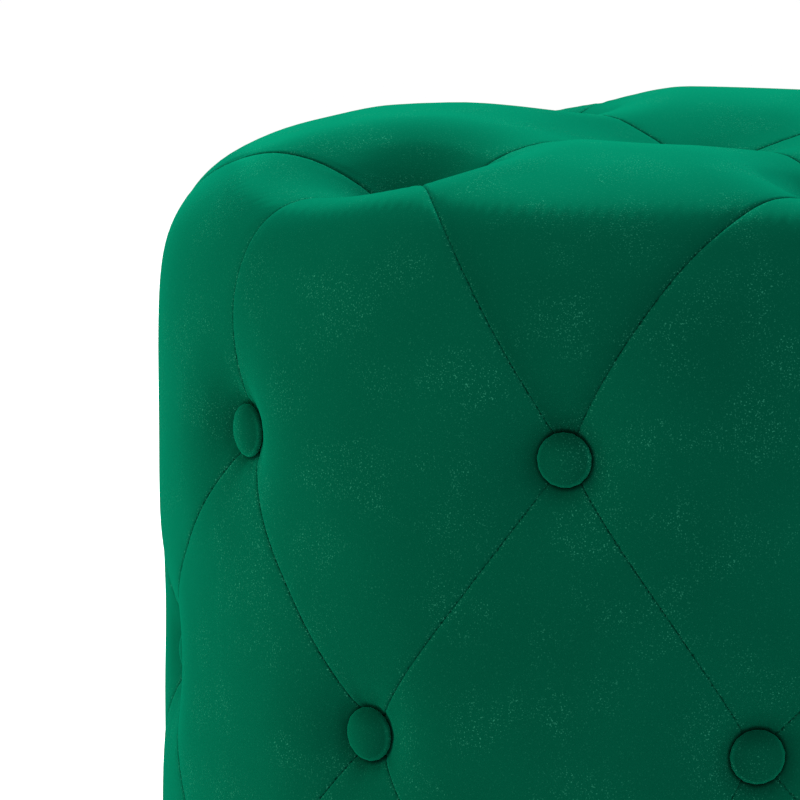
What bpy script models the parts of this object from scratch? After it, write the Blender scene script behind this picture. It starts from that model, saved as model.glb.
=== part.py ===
"""A round, deep-buttoned velvet footstool.

The cover is drawn down onto a filled drum by 29 covered buttons: three
staggered rows round the side, a ring of four on top and one in the middle.
A sewn seam runs from button to button, so the cover stands in four large
kites on the top, and in diamonds over the edge and down the side.

Metres, +Z up.  The origin is the middle of the underside, on the floor.  A
"shared" button of the upper row, where two seams from the top meet, lies at
-Y.
"""

import math

import bmesh
import bpy
import numpy as np
from mathutils import Matrix, Vector

# --- driving dimensions ------------------------------------------------------

HEIGHT = 0.4535         # floor to the top of the drum on which the seams run
SEAM_RADIUS = 0.2397    # radius of that drum
DOME_HEIGHT = 0.118     # how far down the side the rounded edge reaches
DOME_POWER = 4.15       # how square the rounded edge is: 2 is an ellipse

COLUMNS = 8             # buttons in each row of the side
ROW_1_DROP = 0.1225     # top of the drum to the upper row
ROW_STEP = 0.122        # from one row to the next
RING_RADIUS = 0.147     # the four buttons on the top

BUTTON_RADIUS = 0.0120
BUTTON_SKIRT = 0.0022   # straight rim of a button, under its dome
BUTTON_DOME = 0.0042
SEAT_RADIUS = 0.0145    # the flat spot in the cover on which a button sits
GAP = 0.0003            # between pieces that touch

BASE_RADIUS = 0.221     # the board under the drum
BASE_THICKNESS = 0.012
BASE_BEVEL = 0.0015
FOOT_ROUND = 0.014      # the drum's lower edge turns in to the board

# How far each kind of button draws the cover in, how far round it that
# reaches, how steep the pit is at the button (1 is a straight cone), and how
# much it is folded at the seams (0 is round, 1 is straight across a panel).
PITS = {
    "middle": dict(depth=0.0245, reach=0.120, power=1.7, fold=0.12),
    "ring": dict(depth=0.0325, reach=0.074, power=1.9, fold=0.12),
    "side": dict(depth=0.0130, reach=0.056, power=2.4, fold=0.25),
}
FOLD_START = 0.0150     # over this distance a pit turns from round to folded
WELL_DEPTH = 0.0026     # the cover's lip round a button, above its seat

# The buttons are tied off by hand: a few are some millimetres off their marks.
# The middle one is so far off in a direction; the others are degrees round and
# metres down, by row and column.  Row 0 is the ring on the top.
MIDDLE_SET = (math.radians(100.0), 0.009)
HAND_SET = {
    (0, 7): (2.0, 0.0),
    (1, 0): (0.8, -0.0023),
    (1, 7): (2.0, 0.0030),
    (2, 7): (0.0, 0.0030),
    (2, 0): (-1.0, 0.0014),
    (2, 6): (2.0, -0.0025),
    (1, 2): (-1.2, 0.0020),
    (1, 4): (0.7, -0.0015),
    (2, 3): (1.1, 0.0018),
    (3, 1): (0.9, -0.0020),
    (3, 5): (-0.8, 0.0015),
}

# How far each kind of panel stands proud of its seams.
CROWNS = {"kite": 0.0014, "shoulder": 0.0014, "diamond": 0.0008, "skirt": 0.0008}

# The seam from a ring button straight out over the edge lies in a valley, with
# a share of it a sharp crease and the rest a soft bed so wide, as shares of
# the panel.
VALLEY_DEPTH = 0.0025
VALLEY_CREASE = 0.3
VALLEY_WIDTH = 0.30

# The long seams of a kite bow out from the straight, on the flat pattern.  All
# the seams of the side lean a little the same way round.
KITE_BOW = 0.0072
SIDE_LEAN = 0.0025

SEAM_STEPS = 10         # mesh steps from button to button
PLEAT_STEPS = 6         # mesh steps from the lowest row down to the board
BUTTON_STEPS = 14       # mesh steps round a button

VELVET = (0.0, 0.145, 0.085)
BOARD_CLOTH = (0.012, 0.012, 0.013)

# --- worked out from them ----------------------------------------------------

PITCH = 2.0 * math.pi / COLUMNS
DOME_FOOT = HEIGHT - DOME_HEIGHT
DRUM_FOOT = BASE_THICKNESS + GAP
ROW_HEIGHTS = [HEIGHT - ROW_1_DROP - row * ROW_STEP for row in range(3)]
LEAN = SIDE_LEAN / SEAM_RADIUS


def drum_profile(samples=1500):
    """Half-section of the drum on which the seams run, from the middle of the
    top to the edge of the underside: radius and height against the distance
    along it.

    The dome is a superellipse, (r/R)^n + (z/b)^n = 1; then come the straight
    side and a quarter round at the foot.
    """
    turn = np.linspace(0.0, 0.5 * math.pi, samples)
    dome_r = SEAM_RADIUS * np.sin(turn) ** (2.0 / DOME_POWER)
    dome_z = DOME_FOOT + DOME_HEIGHT * np.cos(turn) ** (2.0 / DOME_POWER)
    side_z = np.linspace(DOME_FOOT, DRUM_FOOT + FOOT_ROUND, samples)[1:]
    side_r = np.full_like(side_z, SEAM_RADIUS)
    foot_r = SEAM_RADIUS - FOOT_ROUND * (1.0 - np.cos(turn[1:]))
    foot_z = DRUM_FOOT + FOOT_ROUND * (1.0 - np.sin(turn[1:]))
    radius = np.concatenate([dome_r, side_r, foot_r])
    height = np.concatenate([dome_z, side_z, foot_z])
    steps = np.hypot(np.diff(radius), np.diff(height))
    along = np.concatenate([[0.0], np.cumsum(steps)])
    return along, radius, height


ALONG, RADIUS, TALL = drum_profile()
FOOT_ALONG = ALONG[-1]


def along_at_radius(radius):
    """Distance along the profile of a point on the top, from its radius."""
    top = TALL > DOME_FOOT
    return float(np.interp(radius, RADIUS[top], ALONG[top]))


def along_at_height(height):
    """Distance along the profile of a point on the side, from its height."""
    return float(np.interp(-height, -TALL, ALONG))


def drum_point(angle, along):
    """Point of the drum, and its outward normal, for arrays of angles (0 is
    -Y, turning towards +X) and distances along the profile."""
    nudge = 0.001
    radius = np.interp(along, ALONG, RADIUS)
    height = np.interp(along, ALONG, TALL)
    ahead = np.minimum(along + nudge, FOOT_ALONG)
    behind = np.maximum(along - nudge, 0.0)
    run_r = np.interp(ahead, ALONG, RADIUS) - np.interp(behind, ALONG, RADIUS)
    run_z = np.interp(ahead, ALONG, TALL) - np.interp(behind, ALONG, TALL)
    length = np.hypot(run_r, run_z)
    out_r, out_z = -run_z / length, run_r / length
    sine, cosine = np.sin(angle), np.cos(angle)
    point = np.stack([radius * sine, -radius * cosine, height], axis=-1)
    normal = np.stack([out_r * sine, -out_r * cosine, out_z], axis=-1)
    return point, normal


# --- the buttons' places -----------------------------------------------------

RING_ALONG = along_at_radius(RING_RADIUS)
ROWS_ALONG = [along_at_height(height) for height in ROW_HEIGHTS]


def tied(row, k, angle, along):
    """A button's mark, moved by what it was tied off by hand."""
    turn, drop = HAND_SET.get((row, k % COLUMNS), (0.0, 0.0))
    return angle + math.radians(turn), along + drop


def on_ring(k):
    """Angle and distance along the profile of the ring's button at column k."""
    return tied(0, k, k * PITCH, RING_ALONG)


def on_side(row, k):
    """Angle and distance along the profile of a side button.  Row 2 stands
    half a pitch to the right of rows 1 and 3."""
    return tied(row, k, (k + 0.5 * (row == 2)) * PITCH, ROWS_ALONG[row - 1])


def button_places():
    """Kind, angle and distance along the profile of every button, by name."""
    places = {"button_middle": ("middle", *MIDDLE_SET)}
    for k in range(1, COLUMNS, 2):
        places[f"button_ring_{k // 2 + 1}"] = ("ring", *on_ring(k))
    for row in (1, 2, 3):
        for k in range(COLUMNS):
            places[f"button_row{row}_{k + 1}"] = ("side", *on_side(row, k))
    return places


BUTTONS = button_places()


def seat(kind, angle, along):
    """Middle of a button's seat in the cover, and the way it faces."""
    point, normal = drum_point(np.array(angle), np.array(along))
    if kind == "middle":
        normal = np.array([0.0, 0.0, 1.0])
    return point - PITS[kind]["depth"] * normal, normal


# --- the cover ---------------------------------------------------------------


def flat_pattern(angle, along):
    """The top unrolled flat: the distance along the profile, laid off from the
    middle in the direction of the angle."""
    return np.stack([along * np.sin(angle), along * np.cos(angle)], axis=-1)


def off_flat_pattern(spots, near_angle):
    """Angle and distance along the profile of spots on the flat pattern, with
    the angles within half a turn of near_angle."""
    along = np.hypot(spots[..., 0], spots[..., 1])
    angle = np.arctan2(spots[..., 0], spots[..., 1])
    turns = np.round((near_angle - angle) / (2.0 * math.pi))
    return np.stack([angle + 2.0 * math.pi * turns, along], axis=-1)


def seam_line(start, end, bow, lean):
    """Closely spaced spots along a seam, as rows of angle and distance along
    the profile.

    With no bow it is straight on the unrolled side, and moved round by
    4t(1-t) of the lean, where t goes from 0 to 1 along it.  With one it runs
    over the top: straight on the flat pattern, and moved away from the middle
    by 4t(1-t) of the bow.
    """
    share = np.linspace(0.0, 1.0, 200)[:, None]
    start, end = np.array(start), np.array(end)
    hump = 4.0 * share * (1.0 - share)
    if bow is None:
        return start + share * (end - start) + hump * np.array([lean, 0.0])
    low, high = flat_pattern(*start), flat_pattern(*end)
    spots = low + share * (high - low)
    if bow > 0.0:
        run = (high - low) / np.linalg.norm(high - low)
        away = low - (low @ run) * run
        spots += hump * bow * away / np.linalg.norm(away)
    return off_flat_pattern(spots, end[0])


def seam(start, end, bow=None, lean=LEAN, ends="both"):
    """Spots at the mesh steps of a seam.  Its first step is a button's seat,
    and so is its last where both ends have a button; the others are even."""
    line = seam_line(start, end, bow, lean)
    points, _ = drum_point(line[:, 0], line[:, 1])
    steps = np.linalg.norm(np.diff(points, axis=0), axis=1)
    run = np.concatenate([[0.0], np.cumsum(steps)])
    if ends == "both":
        stops = np.linspace(SEAT_RADIUS, run[-1] - SEAT_RADIUS, SEAM_STEPS - 1)
        stops = np.concatenate([[0.0], stops, [run[-1]]])
    elif ends == "start":
        stops = np.linspace(SEAT_RADIUS, run[-1], PLEAT_STEPS)
        stops = np.concatenate([[0.0], stops])
    else:
        stops = np.linspace(0.0, run[-1], SEAM_STEPS + 1)
    return np.stack([np.interp(stops, run, line[:, i]) for i in range(2)], axis=-1)


def fill(edge_u0, edge_u1, edge_v0, edge_v1):
    """Coons patch: spots that fill the space between four edges.  edge_u0 and
    edge_u1 run along u at v = 0 and v = 1, edge_v0 and edge_v1 along v."""
    u = np.linspace(0.0, 1.0, len(edge_u0))[:, None, None]
    v = np.linspace(0.0, 1.0, len(edge_v0))[None, :, None]
    across = (1.0 - v) * edge_u0[:, None] + v * edge_u1[:, None]
    down = (1.0 - u) * edge_v0[None, :] + u * edge_v1[None, :]
    first = (1.0 - v) * edge_u0[0] + v * edge_u1[0]
    last = (1.0 - v) * edge_u0[-1] + v * edge_u1[-1]
    return across + down - ((1.0 - u) * first + u * last)


def length(edge):
    """Length of a seam on the drum."""
    points, _ = drum_point(edge[:, 0], edge[:, 1])
    return float(np.linalg.norm(np.diff(points, axis=0), axis=1).sum())


def pit_depth(points, button, along_seams):
    """How far a button at its corner draws a panel in.

    It is depth * (1 - distance / reach) ^ power, outside the seat and from
    the lip of the well round the button.  The distance is the round one next
    to the button, and further out partly the sum of the distances along the
    two seams that meet there, which folds the pit at the seams.
    """
    kind, angle, along = button
    pit = PITS[kind]
    middle, _ = drum_point(np.array(angle), np.array(along))
    away = np.linalg.norm(points - middle, axis=-1)
    share = np.clip((away - SEAT_RADIUS) / FOLD_START, 0.0, 1.0)
    fold = pit["fold"] * share * share * (3.0 - 2.0 * share)
    outside = np.maximum(away + fold * (along_seams - away) - SEAT_RADIUS, 0.0)
    rise = np.clip(1.0 - outside / pit["reach"], 0.0, 1.0)
    return (pit["depth"] - WELL_DEPTH) * rise ** pit["power"]


def swell(u, v, kind):
    """Crown of a panel over its seams: the product of the two parabolas
    4u(1-u) and 4v(1-v)."""
    return CROWNS[kind] * np.clip(16.0 * u * (1.0 - u) * v * (1.0 - v), 0.0, 1.0)


def valley(u, v):
    """Depth of the valley over the edge: a parabola along its seam, v = 0,
    and across it the crease (1-v)^2 and the bed exp(-(v/width)^2)."""
    bed = VALLEY_CREASE * (1.0 - v) ** 2
    bed = bed + (1.0 - VALLEY_CREASE) * np.exp(-((v / VALLEY_WIDTH) ** 2))
    return VALLEY_DEPTH * 4.0 * u * (1.0 - u) * bed


def cover(spots, crown, pulls):
    """Points of the cover: the drum's points, moved out by the panel's crown
    and in by the pits of the buttons at its corners."""
    points, normals = drum_point(spots[..., 0], spots[..., 1])
    lift = crown - sum(pit_depth(points, *pull) for pull in pulls)
    return points + lift[..., None] * normals


def sit(grid, corner, kind, angle, along):
    """Lays a grid's corner on a button's seat: the corner point goes to the
    middle of the seat, and the three next to it onto its rim."""
    middle, normal = seat(kind, angle, along)
    i, j = corner
    di, dj = (1 if i == 0 else -1), (1 if j == 0 else -1)
    for row, column in ((i + di, j), (i, j + dj), (i + di, j + dj)):
        offset = grid[row, column] - middle
        flat = offset - (offset @ normal) * normal
        grid[row, column] = middle + SEAT_RADIUS * flat / np.linalg.norm(flat)
    grid[i, j] = middle


def panel(kind, corners, buttons, bows):
    """Grid of a four-cornered panel between four seams.

    corners are its spots in turn round the panel, with the kinds of button
    on them, and bows are those of the seams between them.
    """
    a, b, c, d = corners
    edges = [
        seam(a, b, bows[0]),
        seam(c, d, bows[2])[::-1],
        seam(d, a, bows[3])[::-1],
        seam(b, c, bows[1]),
    ]
    if kind == "kite":
        flat_edges = [flat_pattern(edge[:, 0], edge[:, 1]) for edge in edges]
        spots = off_flat_pattern(fill(*flat_edges), c[0])
    else:
        spots = fill(*edges)
    share = np.linspace(0.0, 1.0, SEAM_STEPS + 1)
    u, v = share[:, None], share[None, :]
    crown = swell(u, v, kind)
    if kind == "shoulder":
        crown = crown - valley(u, v)
    wide = (1.0 - v) * length(edges[0]) + v * length(edges[1])
    tall = (1.0 - u) * length(edges[2]) + u * length(edges[3])
    last = SEAM_STEPS
    places = ((0, 0), (last, 0), (last, last), (0, last))
    ways = ((u, v), (1.0 - u, v), (1.0 - u, 1.0 - v), (u, 1.0 - v))
    marks = [(button, *corner) for button, corner in zip(buttons, corners)]
    pulls = [(mark, i * wide + j * tall) for mark, (i, j) in zip(marks, ways)]
    grid = cover(spots, crown, pulls)
    for place, mark in zip(places, marks):
        sit(grid, place, *mark)
    return grid


def kite(k):
    """Panel of the top, from the middle button over the edge to shared button
    k of the upper row."""
    corners = (MIDDLE_SET, on_ring(k - 1), on_side(1, k), on_ring(k + 1))
    buttons = ("middle", "ring", "side", "ring")
    return panel("kite", corners, buttons, (0.0, KITE_BOW, KITE_BOW, 0.0))


def shoulder(k):
    """Diamond over the edge, from a button of the ring down to the second
    row, between buttons k and k + 1 of the upper row."""
    single, shared = (k, k + 1) if k % 2 else (k + 1, k)
    corners = (on_ring(single), on_side(1, single), on_side(2, k), on_side(1, shared))
    buttons = ("ring", "side", "side", "side")
    return panel("shoulder", corners, buttons, (0.0, None, None, KITE_BOW))


def diamond(k):
    """Diamond of the side, below button k of the upper row."""
    corners = (on_side(1, k), on_side(2, k - 1), on_side(3, k), on_side(2, k))
    return panel("diamond", corners, ("side",) * 4, (None,) * 4)


def skirt(k, side):
    """Half of the panel below button k of the second row: from its seam to
    the lowest row down to the foot, left (side -1) or right (side 1) of the
    line down from that button.

    The whole panel swells as a diamond does down to the level of the lowest
    row, and from there its crown dies away to the foot.  The lean of its seam
    is taken off before the crown is worked out, so the crown is nothing there.
    """
    top = on_side(2, k)
    corner = on_side(3, k if side < 0 else k + 1)
    edges = (
        seam(top, corner),
        seam((top[0], FOOT_ALONG), (corner[0], FOOT_ALONG), lean=0.0, ends="none"),
        seam(top, (top[0], FOOT_ALONG), lean=0.0, ends="start"),
        seam(corner, (corner[0], FOOT_ALONG), lean=0.0, ends="start"),
    )
    spots = fill(*edges)
    wide, tall = corner[0] - top[0], corner[1] - top[1]
    v = np.linspace(0.0, 1.0, PLEAT_STEPS + 1)[None, :]
    turn, fall = edges[0][:, 0] - top[0], edges[0][:, 1] - top[1]
    lean = (turn - wide * fall / tall)[:, None] * (1.0 - v)
    across = np.abs((spots[..., 0] - lean - top[0]) / wide)
    drop = (spots[..., 1] - top[1]) / tall
    foot = (FOOT_ALONG - top[1]) / tall
    low = np.minimum(drop, 1.0)
    fade = 1.0 - (np.maximum(drop - 1.0, 0.0) / (foot - 1.0)) ** 2
    crown = swell(0.5 * (low - across), 0.5 * (low + across), "skirt") * fade
    sewn = length(edges[0])
    back = np.linspace(1.0, 0.0, SEAM_STEPS + 1)[:, None] * sewn
    pulls = (
        (("side", *top), sewn * drop),
        (("side", *corner), back + v * length(edges[3])),
    )
    grid = cover(spots, crown, pulls)
    sit(grid, (0, 0), "side", *top)
    sit(grid, (SEAM_STEPS, 0), "side", *corner)
    return grid


# --- making the pieces -------------------------------------------------------


def velvet_material():
    material = bpy.data.materials.new("green_velvet")
    material.use_nodes = True
    shader = material.node_tree.nodes["Principled BSDF"]
    shader.inputs["Base Color"].default_value = (*VELVET, 1.0)
    shader.inputs["Roughness"].default_value = 0.9
    shader.inputs["Metallic"].default_value = 0.0
    shader.inputs["Sheen Weight"].default_value = 0.6
    return material


def board_material():
    material = bpy.data.materials.new("base_cloth")
    material.use_nodes = True
    shader = material.node_tree.nodes["Principled BSDF"]
    shader.inputs["Base Color"].default_value = (*BOARD_CLOTH, 1.0)
    shader.inputs["Roughness"].default_value = 0.95
    shader.inputs["Metallic"].default_value = 0.0
    return material


def add_grid(shell, grid):
    """Adds a grid of points to a bmesh as quads."""
    rows = [[shell.verts.new(point) for point in line] for line in grid]
    for line, following in zip(rows, rows[1:]):
        for i in range(len(line) - 1):
            shell.faces.new((line[i], line[i + 1], following[i + 1], following[i]))


def tufted_body(collection, material):
    """The filled and covered drum, one closed solid with a flat underside."""
    shell = bmesh.new()
    for k in range(COLUMNS):
        if k % 2 == 0:
            add_grid(shell, kite(k))
        add_grid(shell, shoulder(k))
        add_grid(shell, diamond(k))
        add_grid(shell, skirt(k, -1))
        add_grid(shell, skirt(k, 1))
    bmesh.ops.remove_doubles(shell, verts=shell.verts, dist=0.00005)
    rim = [edge for edge in shell.edges if edge.is_boundary]
    underside = bmesh.ops.contextual_create(shell, geom=rim)["faces"]
    bmesh.ops.poke(shell, faces=underside)
    bmesh.ops.triangulate(shell, faces=shell.faces, quad_method="SHORT_EDGE")
    bmesh.ops.recalc_face_normals(shell, faces=shell.faces)
    mesh = bpy.data.meshes.new("tufted_body")
    shell.to_mesh(mesh)
    shell.free()
    mesh.shade_smooth()
    mesh.materials.append(material)
    body = bpy.data.objects.new("tufted_body", mesh)
    collection.objects.link(body)
    return body


def button_mesh(material):
    """Half-section of a covered button, from its axis over the dome and down
    to its back; the Screw modifier turns it."""
    turns = np.linspace(0.0, 0.5 * math.pi, 4)
    section = [
        (BUTTON_RADIUS * math.sin(t), BUTTON_SKIRT + BUTTON_DOME * math.cos(t))
        for t in turns
    ]
    section += [(BUTTON_RADIUS, 0.0), (0.0, 0.0)]
    points = [(x, 0.0, z) for x, z in section]
    edges = [(i, i + 1) for i in range(len(points) - 1)]
    mesh = bpy.data.meshes.new("button")
    mesh.from_pydata(points, edges, [])
    mesh.materials.append(material)
    return mesh


def covered_button(name, mesh, collection):
    """A button, its back a gap above its seat in the cover."""
    middle, normal = seat(*BUTTONS[name])
    button = bpy.data.objects.new(name, mesh)
    turn = Vector((0.0, 0.0, 1.0)).rotation_difference(Vector(normal))
    button.matrix_world = Matrix.LocRotScale(Vector(middle + GAP * normal), turn, None)
    screw = button.modifiers.new("turned", "SCREW")
    screw.steps = BUTTON_STEPS
    screw.render_steps = BUTTON_STEPS
    screw.use_merge_vertices = True
    screw.merge_threshold = 0.00005
    screw.use_smooth_shade = True
    collection.objects.link(button)
    return button


def base_board(collection, material):
    """The round board that the drum stands on, flat on the floor."""
    bpy.ops.mesh.primitive_cylinder_add(
        vertices=64,
        radius=BASE_RADIUS,
        depth=BASE_THICKNESS,
        location=(0.0, 0.0, 0.5 * BASE_THICKNESS),
    )
    board = bpy.context.active_object
    board.name = "base_board"
    board.data.materials.append(material)
    bevel = board.modifiers.new("rounded_edge", "BEVEL")
    bevel.width = BASE_BEVEL
    bevel.segments = 1
    bevel.limit_method = "ANGLE"
    for owner in list(board.users_collection):
        owner.objects.unlink(board)
    collection.objects.link(board)
    board.data.shade_smooth()
    board.data.set_sharp_from_angle(angle=math.radians(30.0))
    return board


def build_footstool():
    for old in list(bpy.data.objects):
        bpy.data.objects.remove(old, do_unlink=True)
    collection = bpy.data.collections.new("round_footstool")
    bpy.context.scene.collection.children.link(collection)
    velvet = velvet_material()
    tufted_body(collection, velvet)
    shared_mesh = button_mesh(velvet)
    for name in BUTTONS:
        covered_button(name, shared_mesh, collection)
    base_board(collection, board_material())


build_footstool()
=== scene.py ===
# %% [markdown]
# # A round, deep-buttoned velvet footstool
#
# The real footstool is a foam-covered drum in one velvet cover.  The cover is sewn
# from diamonds and kites, and 29 covered buttons are tied through it, so that every
# seam runs from button to button along the bottom of a valley.
#
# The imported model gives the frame: where each button sits and how large everything
# is.  This file dresses it: a fine mesh for the cover with its sewn seams, fine
# covered buttons, a black base cloth, the velvet, and a plain studio.

import math

import bmesh
import bpy
import numpy as np
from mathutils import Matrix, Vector


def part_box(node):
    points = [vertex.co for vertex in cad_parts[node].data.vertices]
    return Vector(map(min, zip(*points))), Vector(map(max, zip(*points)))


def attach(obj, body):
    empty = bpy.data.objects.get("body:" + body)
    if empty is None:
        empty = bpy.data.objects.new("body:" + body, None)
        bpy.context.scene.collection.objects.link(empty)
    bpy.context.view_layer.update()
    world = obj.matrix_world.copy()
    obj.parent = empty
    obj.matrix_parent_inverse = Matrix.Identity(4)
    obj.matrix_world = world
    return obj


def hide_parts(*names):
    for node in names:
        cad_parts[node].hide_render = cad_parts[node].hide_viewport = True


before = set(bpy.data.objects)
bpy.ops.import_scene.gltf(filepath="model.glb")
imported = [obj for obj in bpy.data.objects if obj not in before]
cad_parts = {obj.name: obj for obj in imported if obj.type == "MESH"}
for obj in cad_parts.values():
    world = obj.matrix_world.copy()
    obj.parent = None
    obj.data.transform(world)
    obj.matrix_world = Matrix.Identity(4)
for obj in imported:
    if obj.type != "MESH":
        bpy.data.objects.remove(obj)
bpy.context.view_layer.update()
print("nodes in the frame:", len(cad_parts))

# %% [markdown]
# ## The drum's sizes
#
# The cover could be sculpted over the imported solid, but the solid is itself worked
# out from a few sizes.  Using the same sizes here gives the same cover at any
# fineness, and every seam ends exactly at its button.

# %% The drum, the buttons and the pits
HEIGHT = 0.4535             # floor to the top of the drum under the seams, in metres
SEAM_RADIUS = 0.2397        # the side seams run on this drum
DOME_HEIGHT = 0.118         # how far down the side the rounded edge reaches
DOME_POWER = 4.15           # how square the rounded edge is: 2 is an ellipse
COLUMNS = 8                 # buttons in each row of the side
ROW_1_DROP = 0.1225         # top of the drum to the upper row
ROW_STEP = 0.122            # from one row to the next
RING_RADIUS = 0.147         # the four buttons on the top
SEAT_RADIUS = 0.0145        # the flat spot on which a button sits
DRUM_FOOT = 0.0123          # the drum's lower end, a gap above the base board
FOOT_ROUND = 0.014          # its lower edge turns in to the board

# A pit's depth and reach, how fast it steepens, and how four-sided it is.
PITS = {
    "middle": dict(depth=0.0245, reach=0.120, power=1.7, facet=0.12),
    "ring": dict(depth=0.0325, reach=0.074, power=1.9, facet=0.12),
    "side": dict(depth=0.0130, reach=0.056, power=2.4, facet=0.25),
}

# Where a button is tied off its mark.  The middle one is at an angle and a
# distance from the middle.  The others are given by row (0 is the ring) and
# column, with degrees to the right and metres down the cover.
MIDDLE_SET = (math.radians(100.0), 0.009)
HAND_SET = {
    (0, 7): (2.0, 0.0),
    (1, 0): (0.8, -0.0023),
    (1, 7): (2.0, 0.0030),
    (2, 7): (0.0, 0.0030),
    (2, 0): (-1.0, 0.0014),
    (2, 6): (2.0, -0.0025),
    (1, 2): (-1.2, 0.0020),
    (1, 4): (0.7, -0.0015),
    (2, 3): (1.1, 0.0018),
    (3, 1): (0.9, -0.0020),
    (3, 5): (-0.8, 0.0015),
}

PITCH = 2.0 * math.pi / COLUMNS
DOME_FOOT = HEIGHT - DOME_HEIGHT
ROW_HEIGHTS = [HEIGHT - ROW_1_DROP - row * ROW_STEP for row in range(3)]
print("rows of buttons at", [round(height, 4) for height in ROW_HEIGHTS], "m")

# %% [markdown]
# ## The drum under the seams
#
# All seams lie on one round body: a dome with a well rounded edge, a straight side
# and a small round at the foot.  A turned profile describes it with one number,
# the distance along the profile, and with the angle round the axis that makes a
# pair of surface coordinates in which a tape measure would work.


# %% The drum's profile
def drum_profile(samples=3000):
    """Radius and height against the distance along the profile.

    The dome is a superellipse, (r/R)^n + (z/b)^n = 1, written as
    r = R sin(t)^(2/n), z = b cos(t)^(2/n) above the dome's foot.  The straight
    side and a quarter circle at the foot follow.
    """
    turn = np.linspace(0.0, 0.5 * math.pi, samples)
    dome_r = SEAM_RADIUS * np.sin(turn) ** (2.0 / DOME_POWER)
    dome_z = DOME_FOOT + DOME_HEIGHT * np.cos(turn) ** (2.0 / DOME_POWER)
    side_z = np.linspace(DOME_FOOT, DRUM_FOOT + FOOT_ROUND, samples)[1:]
    side_r = np.full_like(side_z, SEAM_RADIUS)
    foot_r = SEAM_RADIUS - FOOT_ROUND * (1.0 - np.cos(turn[1:]))
    foot_z = DRUM_FOOT + FOOT_ROUND * (1.0 - np.sin(turn[1:]))
    radius = np.concatenate([dome_r, side_r, foot_r])
    height = np.concatenate([dome_z, side_z, foot_z])
    steps = np.hypot(np.diff(radius), np.diff(height))
    along = np.concatenate([[0.0], np.cumsum(steps)])
    return along, radius, height


ALONG, RADIUS, TALL = drum_profile()
FOOT_ALONG = ALONG[-1]
print(f"the profile is {FOOT_ALONG:.4f} m long from the middle of the top to the foot")


# %% Points of the drum
def along_at_radius(radius):
    """Distance along the profile of a point on the top, from its radius."""
    top = TALL > DOME_FOOT
    return float(np.interp(radius, RADIUS[top], ALONG[top]))


def along_at_height(height):
    """Distance along the profile of a point on the side, from its height."""
    return float(np.interp(-height, -TALL, ALONG))


def drum_point(angle, along):
    """Point (r sin a, -r cos a, z) and outward normal, for arrays of angles a
    (0 is -Y, turning towards +X) and distances along the profile."""
    nudge = 0.001
    radius = np.interp(along, ALONG, RADIUS)
    height = np.interp(along, ALONG, TALL)
    ahead = np.minimum(along + nudge, FOOT_ALONG)
    behind = np.maximum(along - nudge, 0.0)
    run_r = np.interp(ahead, ALONG, RADIUS) - np.interp(behind, ALONG, RADIUS)
    run_z = np.interp(ahead, ALONG, TALL) - np.interp(behind, ALONG, TALL)
    length = np.hypot(run_r, run_z)
    out_r, out_z = -run_z / length, run_r / length
    sine, cosine = np.sin(angle), np.cos(angle)
    point = np.stack([radius * sine, -radius * cosine, height], axis=-1)
    normal = np.stack([out_r * sine, -out_r * cosine, out_z], axis=-1)
    return point, normal


RING_ALONG = along_at_radius(RING_RADIUS)
ROWS_ALONG = [along_at_height(height) for height in ROW_HEIGHTS]
print("the ring of buttons is", round(RING_ALONG, 4), "m along the profile")

# %% [markdown]
# ## Where the buttons are
#
# Three staggered rows of eight go round the side, a ring of four stands on top and
# one button is in the middle.  Copies turned round the axis would all sit exactly
# on their marks.  Real ones are tied by hand, so each place is worked out from its
# row and column, and a few are moved some millimetres.


# %% The buttons' places
def on_ring(k):
    """Angle and distance along the profile of the ring's button at column k."""
    turn, drop = HAND_SET.get((0, k % COLUMNS), (0.0, 0.0))
    return k * PITCH + math.radians(turn), RING_ALONG + drop


def on_side(row, k):
    """Angle and distance along the profile of a side button; row 2 is half a
    pitch to the right of rows 1 and 3."""
    turn, drop = HAND_SET.get((row, k % COLUMNS), (0.0, 0.0))
    angle = (k + 0.5 * (row == 2)) * PITCH + math.radians(turn)
    return angle, ROWS_ALONG[row - 1] + drop


def button_places():
    """Kind, angle and distance along the profile of every button, by node."""
    places = {"button_middle": ("middle", *MIDDLE_SET)}
    for k in range(1, COLUMNS, 2):
        places[f"button_ring_{k // 2 + 1}"] = ("ring", *on_ring(k))
    for row in (1, 2, 3):
        for k in range(COLUMNS):
            places[f"button_row{row}_{k + 1}"] = ("side", *on_side(row, k))
    return places


BUTTONS = button_places()


def seat(kind, angle, along):
    """Middle of a button's seat in the cover, and the way it faces."""
    point, normal = drum_point(np.array(angle), np.array(along))
    if kind == "middle":
        normal = np.array([0.0, 0.0, 1.0])
    return point - PITS[kind]["depth"] * normal, normal


def far_from_frame(name):
    """Distance of a seat from the middle of its button's box in the frame."""
    low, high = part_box(name)
    middle, _ = seat(*BUTTONS[name])
    return (Vector(middle) - 0.5 * (low + high)).length


worst = max(far_from_frame(name) for name in BUTTONS)
print(f"{len(BUTTONS)} buttons, no seat over {1000 * worst:.1f} mm from its button's middle")

# %% [markdown]
# ## The seams
#
# A seam is a shortest line on the unrolled cover, since cloth between two buttons
# is pulled straight.  On the side that is straight in angle and distance.  Over the
# top the cover unrolls to a flat disc, and the long seams of a kite bow out on it.
# A curve drawn by hand would not lie on the drum, and these lines do.
#
# The mesh needs narrow steps next to a seam, where the cloth rolls into it within a
# millimetre, and few in the middle of a panel.


# %% Mesh steps across a panel
EDGE_STEPS = 13             # narrow steps beside a seam
CORE_STEPS = 30             # even steps in the middle of a panel
FOOT_STEPS = 24             # even steps down to the foot
EDGE_SHARE = 0.095          # share of the panel that the narrow steps take
EDGE_GROWTH = 1.9           # how fast they widen: 1 is even


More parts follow.
